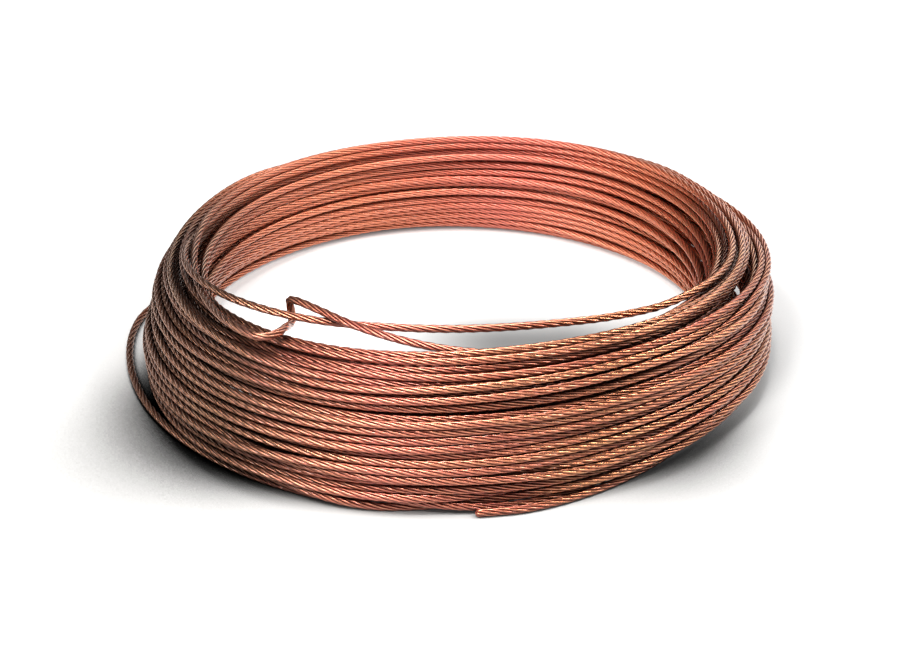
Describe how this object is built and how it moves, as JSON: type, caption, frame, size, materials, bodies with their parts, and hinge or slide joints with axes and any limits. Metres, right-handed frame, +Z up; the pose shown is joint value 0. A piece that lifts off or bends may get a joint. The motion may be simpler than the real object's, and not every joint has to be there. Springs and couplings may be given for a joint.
{
  "type": "bare copper cable coil",
  "caption": "Loose round coil of bare stranded copper cable lying flat, with slack turns outside and across the eye, a hooked turn and a cut end.",
  "frame": {"origin": "on the coil's axis, at the level that its lowest turns rest on", "axes": "+Z up along the coil's axis; -Y is the side with the hooked turn and the cut end, and -X the side where the slack outer turn bulges"},
  "size_m": [0.3184, 0.3109, 0.0697],
  "materials": {
    "bare_copper": "satin"
  },
  "bodies": {
    "root": {"wound_turns": "bare_copper", "loose_outer_turn": "bare_copper", "loose_inner_turn": "bare_copper", "hooked_turn": "bare_copper", "cut_end": "bare_copper"}
  },
  "joints": []
}
